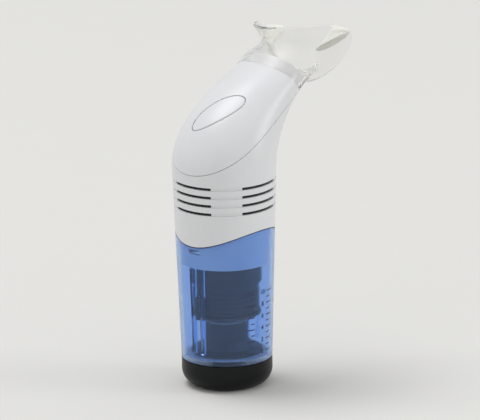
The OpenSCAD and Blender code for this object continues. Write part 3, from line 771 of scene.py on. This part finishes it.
def slip_ring(name, low_r, high_r, low_z, body):
    """Thin pale ring about the body's axis."""
    high_z = low_z + SLIP_RING_T
    section = [(low_r, low_z), (low_r, high_z), (high_r, high_z), (high_r, low_z)]

    def point(key, angle):
        return (key[0] * math.cos(angle), key[0] * math.sin(angle), key[1])

    # The ring takes the paler white, which paints light onto it.
    ring = swept_tube(name, section[::-1], RING_STEPS, point, LIT_INNER_WHITE)
    bevel(ring, SLIP_RING_T / 5)
    place(ring, body, "grey_plastic")


def slip_rings():
    """Slip rings on the sleeve's floor and on top of the drive hub."""
    slip_ring("floor_ring", WASHER_R + RING_GAP, FLOOR_RING_R, FLOOR_Z + FLOOR_RING_LIFT, "root")
    slip_ring("hub_ring", DRIVE_R, HUB_R - RING_GAP / 2, HUB_TOP_Z + HUB_RING_LIFT, "knob")


def inside_body(key, angle):
    """Point at the depth key[0] under the body's skin and the height key[1]."""
    radius = body_r(key[1]) - key[0]
    return (radius * math.cos(angle), radius * math.sin(angle), key[1])


def vent_screen():
    """Thin dark ring behind the slots: painted shade inside the vents."""
    high, low = VENT_TOP_Z + VENT_H, VENT_TOP_Z - (VENT_ROWS - 1) * VENT_PITCH - VENT_H
    near, far = VENT_WALL + VENT_SHADE_GAP, VENT_WALL + VENT_SHADE_GAP + VENT_SHADE_T
    section = [(near, low), (near, high), (far, high), (far, low)]
    ring = swept_tube("vent_screen", section[::-1], RING_STEPS, inside_body, VENT_SHADE_PAINT)
    place(ring, "root", "black_plastic")


def ledge():
    """Ledge inside the collar that the valve head rests on."""
    near, far = SHELL_WALL - LEDGE_SINK, SHELL_WALL + LEDGE_W
    section = [(near, LEDGE_LOW_Z), (near, LEDGE_HIGH_Z), (far, LEDGE_HIGH_Z), (far, LEDGE_LOW_Z)]
    ring = swept_tube("valve_ledge", section, RING_STEPS, inside_body, WHITE)
    bevel(ring, SKIRT_EDGE)
    place(ring, "root", "white_shell")


# Mouthpiece


def sweep_at(y):
    """How far the flange's surface sweeps back at a distance y from its middle."""
    return FLANGE_SWEEP * (abs(y) / FLANGE_W) ** SWEEP_POWER


def turned(x, y):
    """Point of the flange's own outline turned and moved aside on the neck."""
    c, s = math.cos(FLANGE_TURN), math.sin(FLANGE_TURN)
    return x * c + y * s, y * c - x * s - NECK_BEND


def turned_back(x, y):
    """The other way round from turned."""
    c, s = math.cos(FLANGE_TURN), math.sin(FLANGE_TURN)
    y += NECK_BEND
    return x * c - y * s, y * c + x * s


def flange_point(share, lift, inset, angle):
    """Point between the bent neck (share 0) and the flange's rim (share 1), lifted off the surface."""
    reach = FLANGE_UP if math.cos(angle) < 0 else FLANGE_DOWN
    less = inset + NECK_DRAW
    neck_x, neck_y = oval(angle, NECK_H - less, NECK_W - less)
    neck_y -= NECK_BEND
    rim_x, rim_y = turned(*oval(angle, reach, FLANGE_W, FLANGE_POWER))
    x, y = neck_x + share * (rim_x - neck_x), neck_y + share * (rim_y - neck_y)
    own_x, own_y = turned_back(x, y)
    return x, y, MOUTH_L + lift + sweep_at(own_y) - own_x * math.tan(FLANGE_LEAN) + SEAM_GAP


def straight_point(inset, z, angle):
    """Point of the neck's straight foot."""
    x, y = oval(angle, NECK_H - inset, NECK_W - inset)
    return x, y, z + SEAM_GAP


def bend_point(share, inset, angle):
    """Point of the neck's bend between its straight foot (share 0) and the flange's fillet (share 1)."""
    low = straight_point(inset, NECK_STRAIGHT, angle)
    high = flange_point(0, -FLANGE_FILLET, inset, angle)
    side = smooth(share)
    return (low[0] + side * (high[0] - low[0]), low[1] + side * (high[1] - low[1]),
            low[2] + share * (high[2] - low[2]))


def mouth_section():
    """Section of the mouthpiece from the neck's foot along its outside to the rim and back inside."""
    foot = 0.25
    outside = [(straight_point, MOUTH_WALL - foot, 0), (straight_point, foot, 0), (straight_point, 0, foot),
               (straight_point, 0, 2), (straight_point, 0, 4.5)]
    outside += [(bend_point, share, 0) for share in (0, 0.3, 0.6, 0.85)]
    fillet = [(0, -2.3), (0.008, -1.6), (0.025, -0.95), (0.05, -0.5), (0.085, -0.2), (0.14, -0.04)]
    outside += [(flange_point, share, lift, 0) for share, lift in fillet]
    outside += [(flange_point, share, 0, 0) for share in (0.22, 0.34, 0.47, 0.6, 0.73, 0.84, 0.92)]
    rim = [(0.965, -0.1), (0.99, 0.15), (0.998, FLANGE_T / 2), (0.99, FLANGE_T - 0.1), (0.965, FLANGE_T + 0.12)]
    rim = [(flange_point, share, lift, 0) for share, lift in rim]
    shares = (0.92, 0.84, 0.73, 0.6, 0.47, 0.34, 0.22, 0.1, 0.03)
    inside = [(flange_point, share, FLANGE_T, 0) for share in shares]
    lips = ((0, 0.35), (0.6, 0.85), (1.8, 1))
    bore = [(flange_point, 0, FLANGE_T - drop, inset * MOUTH_WALL) for drop, inset in lips]
    bore += [(bend_point, share, MOUTH_WALL) for share in (0.85, 0.6, 0.3, 0)]
    bore += [(straight_point, MOUTH_WALL, 3), (straight_point, MOUTH_WALL, foot)]
    return outside + rim + inside + bore


def mouthpiece():
    """Soft neck and flange in one skin, and the two bite tabs."""
    def point(key, angle):
        return neck_point(*key[0](*key[1:], angle))

    shell = swept_tube("mouth_shell", mouth_section(), 120, point, SILICONE)
    subdivide(shell, 1)
    place(shell, "mouth", "clear_silicone")
    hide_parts("mouthpiece")
    for side in (-1, 1):
        bite_tab(side)


def subdivide(obj, levels):
    """Smooths a piece's skin."""
    modifier = obj.modifiers.new("smooth_skin", "SUBSURF")
    modifier.levels = levels
    modifier.render_levels = levels


def bite_tab(side):
    """Flat tab with a thicker lug, held between the teeth on one side."""
    half_t, half_w = BITE_T / 2, BITE_W / 2 + BITE_T / 2
    end_rise = sweep_at(BITE_Y) + BITE_L
    stations = [(0.0, 1.0), (0.25, 1.0), (0.5, 1.0), (0.68, 1.02), (0.8, 1.2), (0.9, 1.45), (1.0, 1.5)]
    caps = [math.radians(a) for a in (25, 50, 72, 88)]
    count = 40
    points, faces = [], []

    def ring(share, thick, shrink, extra):
        for k in range(count):
            angle = 2 * math.pi * k / count
            y = BITE_Y + (half_w - half_t + half_t * shrink) * signed_power(math.cos(angle), 3.2)
            x = half_t * thick * shrink * signed_power(math.sin(angle), 2.4)
            root = sweep_at(y) + FLANGE_T / 2 - x * math.tan(FLANGE_LEAN)
            rise = MOUTH_L + SEAM_GAP + root + share * max(end_rise - root, 0) + extra
            px, py = turned(x, side * y)
            points.append(neck_point(px, py, rise))

    for share, thick in stations:
        ring(share, thick, 1, 0)
    for angle in caps:
        ring(1, 1.5, math.cos(angle), half_t * 1.5 * math.sin(angle))
    rings = len(points) // count
    for i in range(rings - 1):
        for k in range(count):
            a, b = i * count + k, i * count + (k + 1) % count
            faces.append((a, b, b + count, a + count))
    faces.append(tuple(range(count))[::-1])
    faces.append(tuple(range((rings - 1) * count, rings * count)))
    if side > 0:
        faces = [face[::-1] for face in faces]
    tab = make_object("bite_tab_left" if side > 0 else "bite_tab_right", points, faces, THICK_SILICONE, 60)
    place(tab, "mouth", "clear_silicone")


# Load spring


def spring_part(name, first_turn, last_turn):
    """Part of the load spring between two turns."""
    wire = SPRING_WIRE / 2
    low, high = SPRING_LOW_Z + wire, SPRING_HIGH_Z - wire
    rise = high - low
    end_rise = END_TURN_SHARE * rise

    def height(turn):
        """Height of the wire's middle: flat-pitched end turns, and the rise shared by those between."""
        if turn < 1:
            return low + end_rise * turn
        if turn > SPRING_TURNS - 1:
            return high - end_rise * (SPRING_TURNS - turn)
        return low + end_rise + (turn - 1) * (rise - 2 * end_rise) / (SPRING_TURNS - 2)

    sides = WIRE_SIDES
    steps = round((last_turn - first_turn) * TURN_STEPS)
    points, faces = [], []
    for i in range(steps + 1):
        turn = first_turn + (last_turn - first_turn) * i / steps
        angle = 2 * math.pi * turn
        for k in range(sides):
            tilt = 2 * math.pi * k / sides
            radius = SPRING_R + wire * math.cos(tilt)
            z = height(turn) + wire * math.sin(tilt)
            points.append((radius * math.cos(angle), radius * math.sin(angle), z))
    for i in range(steps):
        for k in range(sides):
            a, b = i * sides + k, i * sides + (k + 1) % sides
            faces.append((a, a + sides, b + sides, b)[::-1])
    faces.append(tuple(range(sides)))
    faces.append(tuple(range(steps * sides, (steps + 1) * sides))[::-1])
    part = make_object(name, points, faces, STEEL, 60)
    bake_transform(part)
    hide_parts("load_spring")


def load_spring():
    """The upper turns take up the valve's lift, and the lower turns the carrier's travel."""
    spring_part("spring_upper", SPLIT_TURN, SPRING_TURNS)
    spring_part("spring_lower", 0, SPLIT_TURN)


# Printed scale


def cone_place(point, angle):
    """Lays a flat point (x round the sleeve, y up) on the sleeve's skin."""
    radius = body_r(point[1]) + INK_STAND
    turn = math.radians(angle) + point[0] / radius
    return (radius * math.cos(turn), radius * math.sin(turn), point[1])


def number_mesh(text, height):
    """Flat outline of a number, centred, as points and faces in millimetres."""
    curve = bpy.data.curves.new("number", "FONT")
    curve.body = text
    curve.align_x = "CENTER"
    curve.align_y = "CENTER"
    curve.size = height * NUMBER_SIZE_SHARE
    curve.offset = NUMBER_BOLD
    holder = bpy.data.objects.new("number", curve)
    bpy.context.scene.collection.objects.link(holder)
    graph = bpy.context.evaluated_depsgraph_get()
    mesh = bpy.data.meshes.new_from_object(holder.evaluated_get(graph))
    points = [tuple(v.co) for v in mesh.vertices]
    faces = [tuple(p.vertices) for p in mesh.polygons]
    bpy.data.objects.remove(holder)
    return points, faces


def load_scale():
    """Plain numerals from 0 to 10 with ticks on both sides."""
    points, faces = [], []

    def add(new_points, new_faces, angle, z):
        offset = len(points)
        points.extend(cone_place((x, y + z), angle) for x, y, *_ in new_points)
        faces.extend(tuple(i + offset for i in face) for face in new_faces)

    def tick(span, z, share):
        inner_end, outer_end = span if span[0] > SCALE_NUMBER else span[::-1]
        outer_end = inner_end + (outer_end - inner_end) * share
        half = math.radians(abs(outer_end - inner_end)) * body_r(z) / 2
        steps = TICK_STEPS
        flat = [(half * (2 * i / steps - 1), side * TICK_H / 2) for side in (-1, 1) for i in range(steps + 1)]
        quads = [(i, i + 1, i + steps + 2, i + steps + 1) for i in range(steps)]
        add(flat, quads, (inner_end + outer_end) / 2, z)

    for level in range(LEVELS + 1):
        z = SCALE_ZERO_Z + level * LEVEL_RISE
        share = 1 if level % 2 == 0 else ODD_TICK_SHARE
        for span in (SCALE_LEFT, SCALE_RIGHT):
            tick(span, z, share)
        if level % 2 == 0:
            number_points, number_faces = number_mesh(str(level), NUMBER_H)
            add(number_points, number_faces, SCALE_NUMBER, z)
    print_piece = make_object("load_scale", points, faces, INK, 60)
    solid = print_piece.modifiers.new("ink_film", "SOLIDIFY")
    solid.thickness = INK_STAND * 1.5 * MM
    solid.offset = 0
    place(print_piece, "root", "dark_plastic")


# Studio


def view_directions():
    """Level directions to the right of the picture and away from the camera."""
    right = Vector((math.sin(VIEW_SIDE), -math.cos(VIEW_SIDE), 0))
    away = Vector((math.cos(VIEW_SIDE), math.sin(VIEW_SIDE), 0))
    return right, away


def set_camera():
    """Long lens at the photograph's angle, placed so that the object fills the same frame."""
    right, away = view_directions()
    ahead = away * math.cos(VIEW_ELEVATION) - Vector((0, 0, 1)) * math.sin(VIEW_ELEVATION)
    up = away * math.sin(VIEW_ELEVATION) + Vector((0, 0, 1)) * math.cos(VIEW_ELEVATION)
    c, s = math.cos(VIEW_ROLL), math.sin(VIEW_ROLL)
    frame_right = right * c - up * s
    frame_up = up * c + right * s
    data = bpy.data.cameras.new("camera")
    data.sensor_width = SENSOR
    data.lens = SENSOR * VIEW_DISTANCE * PIXELS_PER_MM / IMAGE_WIDTH
    data.clip_end = 100
    camera = bpy.data.objects.new("camera", data)
    bpy.context.scene.collection.objects.link(camera)
    turn = Matrix((frame_right, frame_up, -ahead)).transposed().to_4x4()
    camera.matrix_world = Matrix.Translation((VIEW_CENTRE - ahead * VIEW_DISTANCE) * MM) @ turn
    bpy.context.scene.camera = camera


def area_light(name, place_at, size, power):
    """Round lamp that faces the middle of the object."""
    data = bpy.data.lights.new(name, "AREA")
    data.shape = "DISK"
    data.size = size
    data.energy = power
    lamp = bpy.data.objects.new(name, data)
    bpy.context.scene.collection.objects.link(lamp)
    lamp.location = place_at
    lamp.rotation_mode = "QUATERNION"
    lamp.rotation_quaternion = (Vector(LIGHT_TARGET) - place_at).to_track_quat("-Z", "Y")


def studio():
    """Paper floor, even sky and three lamps."""
    material, nodes, links = node_material("paper_floor")
    shader = nodes["Principled BSDF"]
    fibre = noise_node(nodes, links, 40)
    tone = ramp_node(nodes, links, fibre, tuple(0.995 * c for c in FLOOR_COLOUR), FLOOR_COLOUR)
    links.new(tone.outputs["Color"], shader.inputs["Base Color"])
    shader.inputs["Roughness"].default_value = 0.9
    shader.inputs["Specular IOR Level"].default_value = 0.1
    half = FLOOR_HALF
    corners = [(-half, -half, 0), (half, -half, 0), (half, half, 0), (-half, half, 0)]
    floor = make_object("floor", corners, [(0, 1, 2, 3)], material)
    world = bpy.data.worlds.new("studio")
    world.use_nodes = True
    background = world.node_tree.nodes["Background"]
    background.inputs["Color"].default_value = WORLD_COLOUR
    background.inputs["Strength"].default_value = WORLD_STRENGTH
    bpy.context.scene.world = world
    right, away = view_directions()
    for name, rightward, outward, height, size, power in LIGHTS:
        area_light(name, rightward * right + outward * away + Vector((0, 0, height)), size, power)


finish_nodes()
body_shell()
cover_shell()
spigot()
skirt()
ledge()
seam_ring()
slip_rings()
vent_screen()
mouthpiece()
load_spring()
load_scale()
set_camera()
studio()
bpy.context.scene.view_settings.view_transform = "Standard"
